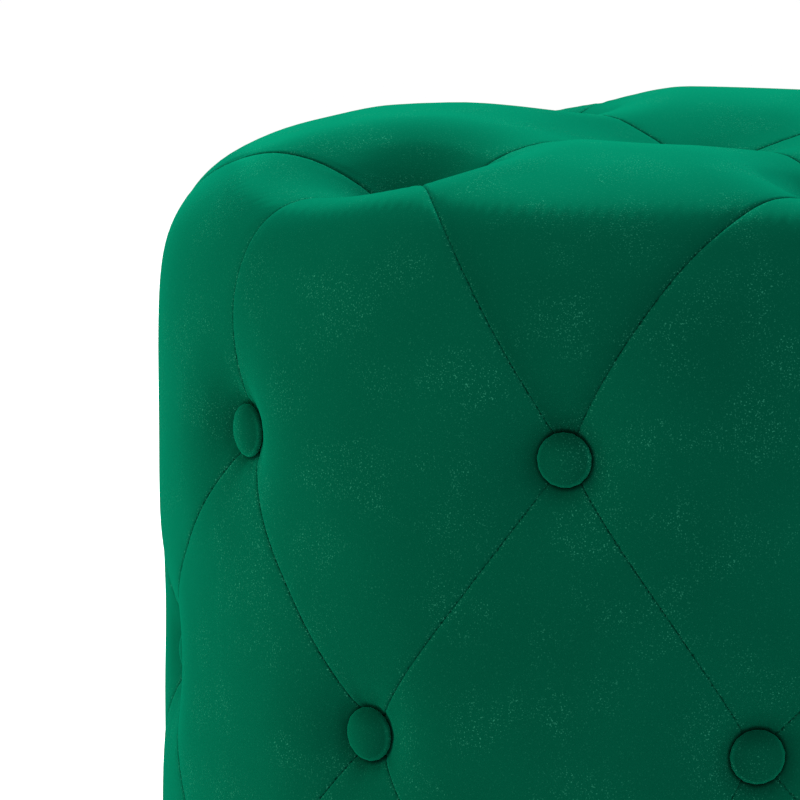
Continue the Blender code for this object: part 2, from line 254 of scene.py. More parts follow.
def narrow_stops():
    """Shares beside a seam: s = e (i/m)^g."""
    return EDGE_SHARE * (np.arange(EDGE_STEPS) / EDGE_STEPS) ** EDGE_GROWTH


def panel_stops():
    """Shares from 0 to 1: narrow steps beside both seams, even between."""
    narrow = narrow_stops()
    even = np.linspace(EDGE_SHARE, 1.0 - EDGE_SHARE, CORE_STEPS + 1)
    return np.concatenate([narrow, even, (1.0 - narrow)[::-1]])


STOPS = panel_stops()
FOOT_STOPS = np.concatenate([narrow_stops(), np.linspace(EDGE_SHARE, 1.0, FOOT_STEPS + 1)])
print("a panel has", len(STOPS) - 1, "steps; the narrowest share is", round(STOPS[1], 5))


# %% Seam lines
KITE_BOW = 0.0072               # how far out the long seams of a kite bow
LEAN = 0.0025 / SEAM_RADIUS     # how far round the side seams bow, as an angle


def flat_pattern(angle, along):
    """The top unrolled flat: the distance along the profile, laid off from the
    middle in the direction of the angle."""
    return np.stack([along * np.sin(angle), along * np.cos(angle)], axis=-1)


def off_flat_pattern(spots, near_angle):
    """Angle and distance along the profile of spots on the flat pattern, with
    the angles within half a turn of near_angle."""
    along = np.hypot(spots[..., 0], spots[..., 1])
    angle = np.arctan2(spots[..., 0], spots[..., 1])
    turns = np.round((near_angle - angle) / (2.0 * math.pi))
    return np.stack([angle + 2.0 * math.pi * turns, along], axis=-1)


def seam_line(start, end, bow, lean):
    """Closely spaced spots along a seam.  On the side (bow None) they are
    start + t (end - start), turned by 4 t (1 - t) lean.  Over the top that
    line is on the flat pattern, moved out there by 4 t (1 - t) bow."""
    share = np.linspace(0.0, 1.0, 400)[:, None]
    start, end = np.array(start), np.array(end)
    hump = 4.0 * share * (1.0 - share)
    if bow is None:
        return start + share * (end - start) + hump * np.array([lean, 0.0])
    low, high = flat_pattern(*start), flat_pattern(*end)
    spots = low + share * (high - low)
    if bow > 0.0:
        run = (high - low) / np.linalg.norm(high - low)
        away = low - (low @ run) * run
        spots += hump * bow * away / np.linalg.norm(away)
    return off_flat_pattern(spots, end[0])


def seam(start, end, bow=None, lean=LEAN, stops=STOPS):
    """Spots of a seam at the mesh stops, which are shares of its length."""
    line = seam_line(start, end, bow, lean)
    points, _ = drum_point(line[:, 0], line[:, 1])
    steps = np.linalg.norm(np.diff(points, axis=0), axis=1)
    run = np.concatenate([[0.0], np.cumsum(steps)])
    return np.stack([np.interp(stops * run[-1], run, line[:, i]) for i in range(2)], axis=-1)


def length(edge):
    """Length of a seam on the drum."""
    points, _ = drum_point(edge[:, 0], edge[:, 1])
    return float(np.linalg.norm(np.diff(points, axis=0), axis=1).sum())


def fill(edge_u0, edge_u1, edge_v0, edge_v1, u, v):
    """Coons patch between four edges: the sum of the two ruled surfaces
    between opposite edges, less the bilinear one between the corners."""
    u, v = u[:, None, None], v[None, :, None]
    across = (1.0 - v) * edge_u0[:, None] + v * edge_u1[:, None]
    down = (1.0 - u) * edge_v0[None, :] + u * edge_v1[None, :]
    first = (1.0 - v) * edge_u0[0] + v * edge_u1[0]
    last = (1.0 - v) * edge_u0[-1] + v * edge_u1[-1]
    return across + down - ((1.0 - u) * first + u * last)


sample = seam(on_side(1, 0), on_side(2, 0))
turned = math.degrees(sample[-1, 0] - sample[0, 0])
print(f"a side seam is {length(sample):.3f} m long and turns {turned:.1f} degrees")

# %% [markdown]
# ## The relief of the cover
#
# Five things move the cover off the drum, each a small function:
#
# - each button draws a pit,
# - a panel swells between its seams, and the seam out over the edge lies in a valley,
# - cloth over foam is never quite even, so slow waves run over all of it,
# - the cloth rolls into the seam, in a narrow groove with puckers beside it,
# - small folds gather round each button.
#
# A displacement texture could do the small ones, but then the mesh itself would
# have no grooves, and the texture would still have to know where the seams are.

# %% Pits
WELL_DEPTH = 0.0026         # the cover stands round a button as a shallow well
WELL_INNER = 0.0122
WELL_OUTER = 0.0152
FACET_START = 0.0150        # how soon a pit turns from round to four-sided


def smooth_step(value, low, high):
    """3t^2 - 2t^3 of the share t of the way from low to high."""
    share = np.clip((value - low) / (high - low), 0.0, 1.0)
    return share * share * (3.0 - 2.0 * share)


def pit_depth(points, button, folded):
    """How far one button draws a panel in at its corner.

    Round the button it is the well, and outside that the cone
    depth (1 - e / reach)^power.  The effective distance e is the round one at
    the button, and soon the sum of the two distances along the seams: lines
    of equal depth are then straight across the panel, as in a folded sheet,
    and the pit has a crease at each seam.
    """
    kind, angle, along = button
    pit = PITS[kind]
    middle, _ = drum_point(np.array(angle), np.array(along))
    away = np.linalg.norm(points - middle, axis=-1)
    turned = pit["facet"] * smooth_step(away, SEAT_RADIUS, SEAT_RADIUS + FACET_START)
    outside = np.maximum(away + turned * (folded - away) - SEAT_RADIUS, 0.0)
    share = np.clip(1.0 - outside / pit["reach"], 0.0, 1.0)
    cone = (pit["depth"] - WELL_DEPTH) * share ** pit["power"]
    return cone + WELL_DEPTH * (1.0 - smooth_step(away, WELL_INNER, WELL_OUTER))


pit_middle, _ = drum_point(np.array(0.0), np.array(ROWS_ALONG[0]))
drawn_in = pit_depth(pit_middle, ("side", 0.0, ROWS_ALONG[0]), 0.0)
print(f"a side button is drawn in {1000 * drawn_in:.1f} mm")

# %% Crowns and the valley
# How far each kind of panel swells.
CROWNS = {"kite": 0.0014, "shoulder": 0.0014, "diamond": 0.0008, "skirt": 0.0008}
VALLEY_DEPTH = 0.0025       # the seam out over the edge runs in a valley
VALLEY_CREASE = 0.3         # share of the valley that is a long crease
VALLEY_WIDTH = 0.30         # how far the rest spreads over the panel
VALLEY_CLOSED = 0.75        # how far the seam in it is closed by the cloth


def swell(u, v, kind):
    """Crown of a panel over its seams: 16 u (1 - u) v (1 - v) of its height."""
    return CROWNS[kind] * np.clip(16.0 * u * (1.0 - u) * v * (1.0 - v), 0.0, 1.0)


def valley(u, v):
    """Valley along the seam out over the edge, where v is 0: it is deepest
    halfway along that seam, 4 u (1 - u), and falls off with v partly as a
    crease, (1 - v)^2, and partly as a trough, exp(-(v / width)^2)."""
    crease = VALLEY_CREASE * (1.0 - v) ** 2
    trough = (1.0 - VALLEY_CREASE) * np.exp(-((v / VALLEY_WIDTH) ** 2))
    return VALLEY_DEPTH * 4.0 * u * (1.0 - u) * (crease + trough)


print(f"a diamond swells {1000 * swell(0.5, 0.5, 'diamond'):.1f} mm between its seams")
print(f"the valley is {1000 * valley(0.5, 0.0):.1f} mm deep")

# %% Slow waves
WAVE_HEIGHT = 0.0004        # the slow waves of cloth over foam


def slow_waves(points):
    """Five crossing sine waves, 60 to 130 mm long, in different directions."""
    total = np.zeros(points.shape[:-1])
    for i in range(5):
        turn = 1.1 + 2.4 * i
        way = np.array([math.cos(turn), math.sin(turn), 0.9 * math.cos(2.7 * i)])
        length = 0.060 + 0.017 * i
        total += np.sin(2.0 * math.pi * (points @ way) / length + 1.7 * i)
    return 0.3 * WAVE_HEIGHT * total


wave = slow_waves(np.array([0.0, 0.0, HEIGHT]))
print(f"the waves move the middle of the top by {1000 * wave:.2f} mm")

# %% Grooves
GROOVE_DEPTH = 0.0008       # the seam's narrow groove
GROOVE_WIDTH = 0.0005
ROLL_DEPTH = 0.0003         # the soft roll of the cloth into it
ROLL_WIDTH = 0.0035
PUCKER_HEIGHT = 0.00012     # the puckers beside a seam
PUCKER_LENGTH = 0.0095
PUCKER_REACH = 0.0040       # where they are highest
PUCKER_END = 0.0080         # where they have died away


def groove_depth(away, run, strength):
    """Depth of the groove at a distance d from the seam: a sharp edge,
    D exp(-d/w), a soft roll, D exp(-(d/w)^1.5), and beside it the puckers,
    sin(run) d exp(-d/reach).  The strength is 1 for an open seam and less
    where the seam lies in a fold."""
    sharp = GROOVE_DEPTH * strength * np.exp(-away / GROOVE_WIDTH)
    soft = ROLL_DEPTH * np.exp(-((away / ROLL_WIDTH) ** 1.5))
    turn = 2.0 * math.pi * run / PUCKER_LENGTH
    uneven = np.sin(turn) + 0.6 * np.sin(turn / 0.37 + 2.0)
    reach = away / PUCKER_REACH
    fade = 1.0 - smooth_step(away, PUCKER_REACH, PUCKER_END)
    pucker = PUCKER_HEIGHT * uneven * reach * np.exp(1.0 - reach) * fade
    return sharp + soft + pucker


print(f"a groove is {1000 * (GROOVE_DEPTH + ROLL_DEPTH):.1f} mm deep at the stitches")

# %% Gathers
GATHER_HEIGHT = 0.00020     # the gathers that run out from a button
GATHER_START = 0.0020
GATHER_REACH = 0.0080
GATHER_COUNT = 11


def gathers(points, button):
    """Small folds round a button: two sines of the turn round it that die
    away over their reach.  They start at a different turn at each button,
    which comes from its place."""
    _, angle, along = button
    start = 9.0 * math.sin(angle) + 40.0 * along
    middle, normal = drum_point(np.array(angle), np.array(along))
    offset = points - middle
    out = np.maximum(np.linalg.norm(offset, axis=-1) - WELL_INNER, 0.0)
    side = np.cross(normal, [0.3, 0.5, 0.8])
    side = side / np.linalg.norm(side)
    turn = np.arctan2(offset @ np.cross(normal, side), offset @ side)
    folds = np.sin(GATHER_COUNT * turn + 1.3 * start)
    folds += 0.6 * np.sin((GATHER_COUNT - 4) * turn + 2.1 * start)
    rise = np.clip(out / GATHER_START, 0.0, 1.0)
    return GATHER_HEIGHT * folds * rise * np.exp(-out / GATHER_REACH)


print("sines of", GATHER_COUNT, "and", GATHER_COUNT - 4, "folds gather round a button")

# %% [markdown]
# ## One panel
#
# A panel is a grid between four seams.  One mesh cut along the seams would be
# simpler, but would have slivers beside them, and a grid follows them with even
# quads.  For each point of the grid the distance to each seam comes from the seam's
# point at the same share and its direction there, so the groove is as wide at the
# corners as in the middle.


# %% Distance from the seams
def seam_frame(points, edge, axis, strength):
    """Distance from an edge of the grid, the run along it and the seam's
    strength there, for each point.

    With the edge's point E and direction T at the same share, the distance is
    |(P - E) x T| and the run is that of E plus (P - E) . T.  The run counts
    from the middle of the seam, so both panels beside it agree.
    """
    ways = np.gradient(edge, axis=0)
    ways /= np.maximum(np.linalg.norm(ways, axis=1), 1e-9)[:, None]
    steps = np.linalg.norm(np.diff(edge, axis=0), axis=1)
    run = np.concatenate([[0.0], np.cumsum(steps)])
    place = (slice(None), None) if axis == 0 else (None, slice(None))
    offset = points - edge[place]
    away = np.linalg.norm(np.cross(offset, ways[place]), axis=-1)
    down = run[place] + np.sum(offset * ways[place], axis=-1)
    strength = np.broadcast_to(strength[place], away.shape)
    return away, np.abs(down - 0.5 * run[-1]), strength


def nearest_seam(points, edges):
    """The three measures of seam_frame for the nearest of some edges."""
    found = [seam_frame(points, *edge) for edge in edges]
    measures = [np.stack([item[i] for item in found]) for i in range(3)]
    best = np.argmin(measures[0], axis=0)[None]
    return [np.take_along_axis(item, best, axis=0)[0] for item in measures]


# The side seam from before, and the same line turned a little round the drum.
strip = np.stack([sample, sample + np.array([0.02, 0.0])], axis=1)
strip_points, _ = drum_point(strip[..., 0], strip[..., 1])
away, _, _ = seam_frame(strip_points, strip_points[:, 0], 0, np.ones(len(STOPS)))
print(f"a line turned 0.02 from a side seam is {1000 * away[:, 1].mean():.1f} mm from it")


# %% Points of the cover
def cover(spots, crown, edges, corners):
    """Points of the cover, and for each the distance from the nearest seam,
    that seam's strength there, and the distance from the nearest button.  The
    drum's point moves along its normal by the crown, the slow waves and the
    gathers, less the pits and the groove."""
    points, normals = drum_point(spots[..., 0], spots[..., 1])
    lines = [
        (drum_point(edge[:, 0], edge[:, 1])[0], axis, strength)
        for edge, axis, strength in edges
    ]
    away, run, strength = nearest_seam(points, lines)
    lift = crown + slow_waves(points) - groove_depth(away, run, strength)
    button_away = np.full(away.shape, 1.0)
    for button, folded in corners:
        lift += gathers(points, button) - pit_depth(points, button, folded)
        middle, _ = drum_point(np.array(button[1]), np.array(button[2]))
        button_away = np.minimum(button_away, np.linalg.norm(points - middle, axis=-1))
    return points + lift[..., None] * normals, away, strength, button_away


moved, *_ = cover(strip, 0.0, [(sample, 0, np.ones(len(STOPS)))], [])
shift = 1000.0 * np.linalg.norm(moved - strip_points, axis=-1).mean(axis=0)
print(f"off the drum by {shift[0]:.1f} mm at the stitches, {shift[1]:.1f} mm beside them")

# %% A panel between four seams
KITE_SEAM_SHADE = 0.30          # painted shade: how much darker a kite is beside its long seams
VALLEY_SIDE_SHADE = 0.12           # painted light and shade: how much lighter or darker a panel is beside the seam in the valley
PAINTED_SHADE_WIDTH = 0.012           # how soon both die away


def kite_seam_shade(wide, tall, u, v):
    """Painted shade of a kite: 1 - n min(1, exp(-p/w) + exp(-q/w)), with p and q
    the distances from its two long seams, where it is darker."""
    pressed = np.exp(-(1.0 - v) * tall / PAINTED_SHADE_WIDTH)
    pressed = pressed + np.exp(-(1.0 - u) * wide / PAINTED_SHADE_WIDTH)
    return 1.0 - KITE_SEAM_SHADE * np.minimum(pressed, 1.0)


def panel(kind, corners, kinds, bows, side=0.0):
    """Fine grid of a four-cornered panel between four seams.  A panel beside
    the valley is on its left (side 1), where it gets painted light, or on its
    right (side -1), where it gets painted shade."""
    a, b, c, d = corners
    edges = [
        seam(a, b, bows[0]),
        seam(c, d, bows[2])[::-1],
        seam(d, a, bows[3])[::-1],
        seam(b, c, bows[1]),
    ]
    if kind == "kite":
        flat = [flat_pattern(edge[:, 0], edge[:, 1]) for edge in edges]
        spots = off_flat_pattern(fill(*flat, STOPS, STOPS), c[0])
    else:
        spots = fill(*edges, STOPS, STOPS)
    u, v = STOPS[:, None], STOPS[None, :]
    crown = swell(u, v, kind)
    if kind == "shoulder":
        crown = crown - valley(u, v)
    wide = (1.0 - v) * length(edges[0]) + v * length(edges[1])
    tall = (1.0 - u) * length(edges[2]) + u * length(edges[3])
    ways = ((u, v), (1.0 - u, v), (1.0 - u, 1.0 - v), (u, 1.0 - v))
    pulls = [
        ((button, *corner), i * wide + j * tall)
        for button, corner, (i, j) in zip(kinds, corners, ways)
    ]
    strengths = [np.ones(len(STOPS)) for _ in edges]
    if kind == "shoulder":
        strengths[0] = 1.0 - VALLEY_CLOSED * 4.0 * STOPS * (1.0 - STOPS)
    # Painted shade beside a kite's long seams, and painted light or shade on either side of
    # the seam in the valley.
    painted_light = np.ones((len(STOPS), len(STOPS)))
    if kind == "kite":
        painted_light = kite_seam_shade(wide, tall, u, v)
    if kind == "shoulder":
        painted_light = 1.0 + side * VALLEY_SIDE_SHADE * np.exp(-v * tall / PAINTED_SHADE_WIDTH)
    return *cover(spots, crown, list(zip(edges, (0, 0, 1, 1), strengths)), pulls), painted_light


def diamond(k):
    """Diamond of the side, below button k of the upper row."""
    corners = (on_side(1, k), on_side(2, k - 1), on_side(3, k), on_side(2, k))
    return panel("diamond", corners, ("side",) * 4, (None,) * 4)


print("one diamond has", diamond(0)[0].shape[:2], "points")


# %% Panels of the top and over the edge
def kite(k):
    """Panel of the top, from the middle button over the edge to shared button
    k of the upper row."""
    corners = (MIDDLE_SET, on_ring(k - 1), on_side(1, k), on_ring(k + 1))
    kinds = ("middle", "ring", "side", "ring")
    return panel("kite", corners, kinds, (0.0, KITE_BOW, KITE_BOW, 0.0))


def shoulder(k):
    """Diamond over the edge, from a button of the ring down to the second
    row, between buttons k and k + 1 of the upper row."""
    single, shared = (k, k + 1) if k % 2 else (k + 1, k)
    corners = (on_ring(single), on_side(1, single), on_side(2, k), on_side(1, shared))
    kinds = ("ring", "side", "side", "side")
    side = -1.0 if k % 2 else 1.0
    return panel("shoulder", corners, kinds, (0.0, None, None, KITE_BOW), side)


lowest = kite(0)[0][..., 2].min()
print(f"a kite reaches from the middle of the top down to {lowest:.3f} m over the floor")


# %% The skirt
def skirt(k, side):
    """Half of the panel below button k of the second row, down to the foot,
    left (side -1) or right (side 1) of the line down from that button.

    Both halves have to agree on that line.  So each counts the other half's
    seam when it looks for the nearest one, and the sewn distance from the
    button passes, between the seam and the line, from this half's distance
    along the seam to the mean of both for the same fall.
    """
    top = on_side(2, k)
    corner = on_side(3, k if side < 0 else k + 1)
    other = on_side(3, k + 1 if side < 0 else k)
    edges = (
        seam(top, corner),
        seam((top[0], FOOT_ALONG), (corner[0], FOOT_ALONG), lean=0.0),
        seam(top, (top[0], FOOT_ALONG), lean=0.0, stops=FOOT_STOPS),
        seam(corner, (corner[0], FOOT_ALONG), lean=0.0, stops=FOOT_STOPS),
    )
    spots = fill(*edges, STOPS, FOOT_STOPS)
    wide, tall = corner[0] - top[0], corner[1] - top[1]
    turn, fall = edges[0][:, 0] - top[0], edges[0][:, 1] - top[1]
    lean = (turn - wide * fall / tall)[:, None] * (1.0 - FOOT_STOPS)
    across = np.abs((spots[..., 0] - lean - top[0]) / wide)
    fallen = spots[..., 1] - top[1]
    drop = fallen / tall
    foot = (FOOT_ALONG - top[1]) / tall
    low = np.minimum(drop, 1.0)
    fade = 1.0 - (np.maximum(drop - 1.0, 0.0) / (foot - 1.0)) ** 2
    crown = swell(0.5 * (low - across), 0.5 * (low + across), "skirt") * fade
    opposite = seam(top, other)
    sewn = length(edges[0])
    steep = sewn / tall
    mean = 0.5 * (steep + length(opposite) / (other[1] - top[1])) * fallen
    beside = sewn * STOPS[:, None] + steep * (fallen - fall[:, None])
    share = np.clip(across / np.maximum(low, 1e-6), 0.0, 1.0)
    below = mean + share * (beside - mean)
    down = (1.0 - STOPS[:, None]) * sewn + FOOT_STOPS[None, :] * length(edges[3])
    pulls = ((("side", *top), below), (("side", *corner), down))
    whole = np.ones(len(STOPS))
    open_seams = (
        (edges[0], 0, whole),
        (opposite, 0, whole),
        (edges[3], 1, np.ones(len(FOOT_STOPS))),
    )
    return *cover(spots, crown, open_seams, pulls), np.ones(spots.shape[:2])


gap = np.abs(skirt(0, -1)[0][0] - skirt(0, 1)[0][0]).max()
print(f"the two halves below a button meet within {1000 * gap:.3f} mm")

# %% [markdown]
# ## All the panels
#
# A real cover is cut as four kites for the top, eight diamonds over the edge, eight
# round the side and a skirt.  One sheet could be wrapped round the drum instead,
# but its edges would not follow the seams.  So each panel is a grid of quads, with
# the distances from its seams and buttons and its painted light and shade at every point.


# %% The panels' grids
def quads(rows, columns, first):
    """Corner numbers of the quads of a grid whose points start at first."""
    corner = first + np.arange(rows - 1)[:, None] * columns + np.arange(columns - 1)
    around = (corner, corner + 1, corner + columns + 1, corner + columns)
    return np.stack(around, axis=-1).reshape(-1, 4)


def sewn_cover():
    """Points and quads of all the panels, and their measures."""
    grids = []
    for k in range(COLUMNS):
        if k % 2 == 0:
            grids.append(kite(k))
        grids += [shoulder(k), diamond(k), skirt(k, -1), skirt(k, 1)]
    faces, first = [], 0
    for grid in grids:
        faces.append(quads(*grid[0].shape[:2], first))
        first += grid[0].shape[0] * grid[0].shape[1]
    points = np.concatenate([grid[0].reshape(-1, 3) for grid in grids])
    # The last measure is the painted light and shade that the velvet's colour is multiplied
    # by.
    names = ("seam_away", "seam_open", "button_away", "painted_light")
    measures = {
        name: np.concatenate([grid[i].ravel() for grid in grids])
        for i, name in enumerate(names, start=1)
    }
    return points, np.concatenate(faces), measures


cover_points, cover_quads, cover_measures = sewn_cover()
print("the cover has", len(cover_quads), "quads and the measures", list(cover_measures))

# %% [markdown]
# ## Painted light and shade
#
# The cover's colour is painted lighter on the level top, most of all round the rim,
# darker down the slope where the side begins, and darker in the pits of the top.
# It could be drawn into an image, but worked out from the way each point faces it
# fits from all sides.

# %% Painted light and shade of the cover
SLOPE_PAINTED_SHADE = 0.84          # painted shade down the slope where the side begins
TOP_PAINTED_LIGHT = 1.31          # painted light on the level top
RIM_PAINTED_LIGHT = 0.30          # painted light: how much lighter still round the rim
LEVEL_NORMAL = (0.870, 0.915)     # upward part of the normal where the painted top light begins and is full
CREST_NORMAL = (0.94, 0.990)      # where the rim's part of it weakens
CREST_LEFT = 0.4                # what is left of that on the level
STEEP_NORMAL = (0.62, 0.84)       # where the slope's part of it ends
RIM_RADII = (0.160, 0.190)       # radius at which the rim begins
PIT_PAINTED_SHADE = 0.30        # painted shade: how much darker the cover is in a pit
PIT_SHADE_REACH = {"middle": (0.062, 0.098), "ring": (0.065, 0.100)}  # where that ends
PIT_SHADE_WIDTH = 0.03        # how soon a ring button's pit is shaded outside the ring


def mesh_points(mesh):
    """The places of a mesh's points, one in each row."""
    points = np.empty(3 * len(mesh.vertices), dtype=np.float32)
    mesh.vertices.foreach_get("co", points)
    return points.reshape(-1, 3)


def painted_pit_shade(points):
    """Painted shade in the pits of the top: all round the middle
    button, and on the outer side of the ring's."""
    radius = np.hypot(points[:, 0], points[:, 1])
    out = smooth_step(radius, RING_RADIUS, RING_RADIUS + PIT_SHADE_WIDTH)
    shade = np.ones(len(points))
    for kind, angle, along in BUTTONS.values():
        if kind == "side":
            continue
        away = np.linalg.norm(points - seat(kind, angle, along)[0], axis=1)
        near = 1.0 - smooth_step(away, *PIT_SHADE_REACH[kind])
        shade -= PIT_PAINTED_SHADE * near * (out if kind == "ring" else 1.0)
    return shade


def light_by_facing(points, level):
    """Painted light and shade from the upward part of each point's normal:
    slope + (top - slope) where it faces up, + crest round the rim, and
    + (1 - slope) again on the steep side."""
    upright = smooth_step(level, *LEVEL_NORMAL)
    steep = 1.0 - smooth_step(level, *STEEP_NORMAL)
    rim = smooth_step(np.hypot(points[:, 0], points[:, 1]), *RIM_RADII)
    crest = rim * upright * (1.0 - (1.0 - CREST_LEFT) * smooth_step(level, *CREST_NORMAL))
    shade = SLOPE_PAINTED_SHADE + (TOP_PAINTED_LIGHT - SLOPE_PAINTED_SHADE) * upright
    return shade + RIM_PAINTED_LIGHT * crest + (1.0 - SLOPE_PAINTED_SHADE) * steep


def paint_cover_light(mesh):
    """Multiplies the mesh's painted light by the painted shade of the pits and the painted
    light and shade from the way each point faces.
    """
    normals = np.empty(3 * len(mesh.vertices), dtype=np.float32)
    mesh.vertex_normals.foreach_get("vector", normals)
    painted_light = np.empty(len(mesh.vertices), dtype=np.float32)
    mesh.attributes["painted_light"].data.foreach_get("value", painted_light)
    points = mesh_points(mesh)
    # painted shade in the pits, and painted light on the top and shade down the slope
    painted_light *= painted_pit_shade(points) * light_by_facing(points, normals[2::3])
    mesh.attributes["painted_light"].data.foreach_set("value", painted_light)
    print(f"the pile's shade runs from {painted_light.min():.2f} to {painted_light.max():.2f}")


# %% [markdown]
# ## The cover as one closed mesh
#
# The panels' grids meet at their seams, so merging the doubled points sews them
# into one skin.  The foot's rim is closed with a flat fan, as the real drum is
# closed by its underside, and the piece then has no hole for air or for a
# volume measure.

# %% Sew the panels together
MERGE_DISTANCE = 0.00003


def cover_mesh(name, points, faces, measures):
    """One closed mesh of the cover, with the measures as attributes."""
    mesh = bpy.data.meshes.new(name)
    mesh.from_pydata(points.tolist(), [], faces.tolist())
    for label, values in measures.items():
        layer = mesh.attributes.new(label, "FLOAT", "POINT")
        layer.data.foreach_set("value", values.astype(np.float32))
    shell = bmesh.new()
    shell.from_mesh(mesh)
    bmesh.ops.remove_doubles(shell, verts=shell.verts, dist=MERGE_DISTANCE)
    rim = [edge for edge in shell.edges if edge.is_boundary]
    underside = bmesh.ops.contextual_create(shell, geom=rim)["faces"]
    bmesh.ops.poke(shell, faces=underside)
    bmesh.ops.recalc_face_normals(shell, faces=shell.faces)
    loose = sum(1 for edge in shell.edges if not edge.is_manifold)
    shell.to_mesh(mesh)
    shell.free()
    mesh.shade_smooth()
    paint_cover_light(mesh)
    print(f"{name}: {len(mesh.vertices)} points, {loose} open edges")
    return mesh


def link(name, mesh, material):
    """A finished piece at the origin, with its material."""
    mesh.materials.clear()
    mesh.materials.append(material)
    piece = bpy.data.objects.new(name, mesh)
    bpy.context.scene.collection.objects.link(piece)
    return piece


body_mesh = cover_mesh("velvet_cover", cover_points, cover_quads, cover_measures)

# %% [markdown]
# ## The buttons
#
# A covered button is a low dome with velvet pulled over it and gathered under its
# edge.  A ball pressed flat would be quicker, but would have no edge.  A turned
# profile gives the dome, its rolled edge and the tuck underneath, and small waves
# round the edge stand for the gathers.

# %% The button's profile
BUTTON_RADIUS = 0.0117
BUTTON_BACK = 0.0003        # the back of a button, above its seat
DOME_TURN = math.radians(34.0)   # how steep the dome is where its edge rolls
RIM_ROLL = 0.0015           # radius of the rolled edge


def button_profile(dome_steps=10, roll_steps=12):
    """Radius and height of the button's half-section, from the middle of the
    dome out over the rolled edge to the back: a ball's cap and a circle of
    radius RIM_ROLL, which touch at the angle DOME_TURN."""
    reach = BUTTON_RADIUS - RIM_ROLL
    cap = reach / math.sin(DOME_TURN) + RIM_ROLL
    level = BUTTON_BACK + RIM_ROLL
    turn = np.linspace(0.0, DOME_TURN, dome_steps)
    dome_r = cap * np.sin(turn)
    dome_z = level - (cap - RIM_ROLL) * math.cos(DOME_TURN) + cap * np.cos(turn)
    turn = np.linspace(DOME_TURN, math.pi, roll_steps + 1)[1:]
    roll_r = reach + RIM_ROLL * np.sin(turn)
    roll_z = level + RIM_ROLL * np.cos(turn)
    radius = np.concatenate([dome_r, roll_r, [0.5 * reach]])
    height = np.concatenate([dome_z, roll_z, [BUTTON_BACK]])
    return radius, height


print(f"a button is {1000 * button_profile()[1].max():.1f} mm high over its seat")

# %% A button's points
RIM_GATHER = 0.00010        # the gathers round the edge
RIM_GATHERS = 17
RIM_WIDTH = 0.0016          # how far from the edge they reach
TURN_STEPS = 72


def button_points(number):
    """Grid of a button's points, turned round +Z, with gathers
    sin(count a + phase) that are strongest on the rolled edge."""
    radius, height = button_profile()
    angle = np.linspace(0.0, 2.0 * math.pi, TURN_STEPS, endpoint=False)
    edge = np.exp(-(((radius - BUTTON_RADIUS) / RIM_WIDTH) ** 2))
    wave = np.sin(RIM_GATHERS * angle + 2.3 * number)
    wave += 0.5 * np.sin((RIM_GATHERS - 6) * angle + 1.1 * number)
    spread = radius[:, None] + RIM_GATHER * edge[:, None] * wave
    tall = np.broadcast_to(height[:, None], spread.shape)
    return np.stack([spread * np.cos(angle), spread * np.sin(angle), tall], axis=-1)


widest = np.hypot(*button_points(0)[..., :2].T).max()
print(f"with its gathers a button is {2000 * widest:.2f} mm across")

# %% Painted light and shade of a button
DOME_SHADE = 0.88           # how light the dome is
UPPER_PAINTED_SHADOW = 0.30          # painted shadow: how much darker near the upper edge
RIM_PAINTED_HIGHLIGHT = 0.55            # painted highlight: how much lighter on the rolled edge


def paint_button_light(mesh, middle, normal):
    """Paints a button's light and shade: the dome's shade, a painted shadow
    near the upper edge, and a painted highlight on the rolled edge below it."""
    points = mesh_points(mesh) - middle
    flat = points - (points @ normal)[:, None] * normal
    out = np.linalg.norm(flat, axis=1)
    upper = smooth_step(flat[:, 2], 0.2 * BUTTON_RADIUS, BUTTON_RADIUS)
    edge = smooth_step(out, BUTTON_RADIUS - RIM_ROLL, BUTTON_RADIUS - 0.4 * RIM_ROLL)
    painted_light = DOME_SHADE - UPPER_PAINTED_SHADOW * upper + RIM_PAINTED_HIGHLIGHT * edge * (1.0 - upper)
    layer = mesh.attributes.new("painted_light", "FLOAT", "POINT")
    layer.data.foreach_set("value", painted_light.astype(np.float32))


print("shade of the pile at the upper edge:", round(DOME_SHADE - UPPER_PAINTED_SHADOW, 2))


# %% All the buttons
def button_mesh(name, number):
    """A closed mesh of one button on its seat."""
    middle, normal = seat(*BUTTONS[name])
    turn = Vector((0.0, 0.0, 1.0)).rotation_difference(Vector(normal)).to_matrix()
    grid = button_points(number) @ np.array(turn).T + middle
    rows, columns = grid.shape[:2]
    ring = np.arange(columns)
    corner = np.arange(1, rows - 1)[:, None] * columns + ring
    around = corner - ring + (ring + 1) % columns
    faces = np.stack([corner, corner + columns, around + columns, around], axis=-1)
    last = (rows - 1) * columns
    tip = [[0, columns + i, columns + (i + 1) % columns] for i in ring]
    back = [list(last + ring[::-1])]
    faces = faces.reshape(-1, 4).tolist() + tip + back
    mesh = bpy.data.meshes.new(name)
    mesh.from_pydata(grid.reshape(-1, 3).tolist(), [], faces)
    shell = bmesh.new()
    shell.from_mesh(mesh)
    loose = [vert for vert in shell.verts if not vert.link_faces]
    bmesh.ops.delete(shell, geom=loose, context="VERTS")
    bmesh.ops.recalc_face_normals(shell, faces=shell.faces)
    shell.to_mesh(mesh)
    shell.free()
    mesh.shade_smooth()
    # painted shadow and highlight in the button's colour
    paint_button_light(mesh, middle, normal)
    return mesh


button_meshes = {name: button_mesh(name, i) for i, name in enumerate(BUTTONS)}
button_count = len(button_meshes["button_middle"].vertices)
print(f"{len(button_meshes)} buttons of {button_count} points")

# %% [markdown]
# ## Velvet
#
# Velvet is a dense pile.  Seen along the pile it is dark, and seen across it, at a
# grazing angle, the tips catch the light, so folds and rims glow.  The Principled
# shader's sheen does that.  The pile is never brushed quite one way, which shows
# as soft patches and as pale flecks a fraction of a millimetre wide.  The cover
# and the buttons share it, so it is a node group, built once.


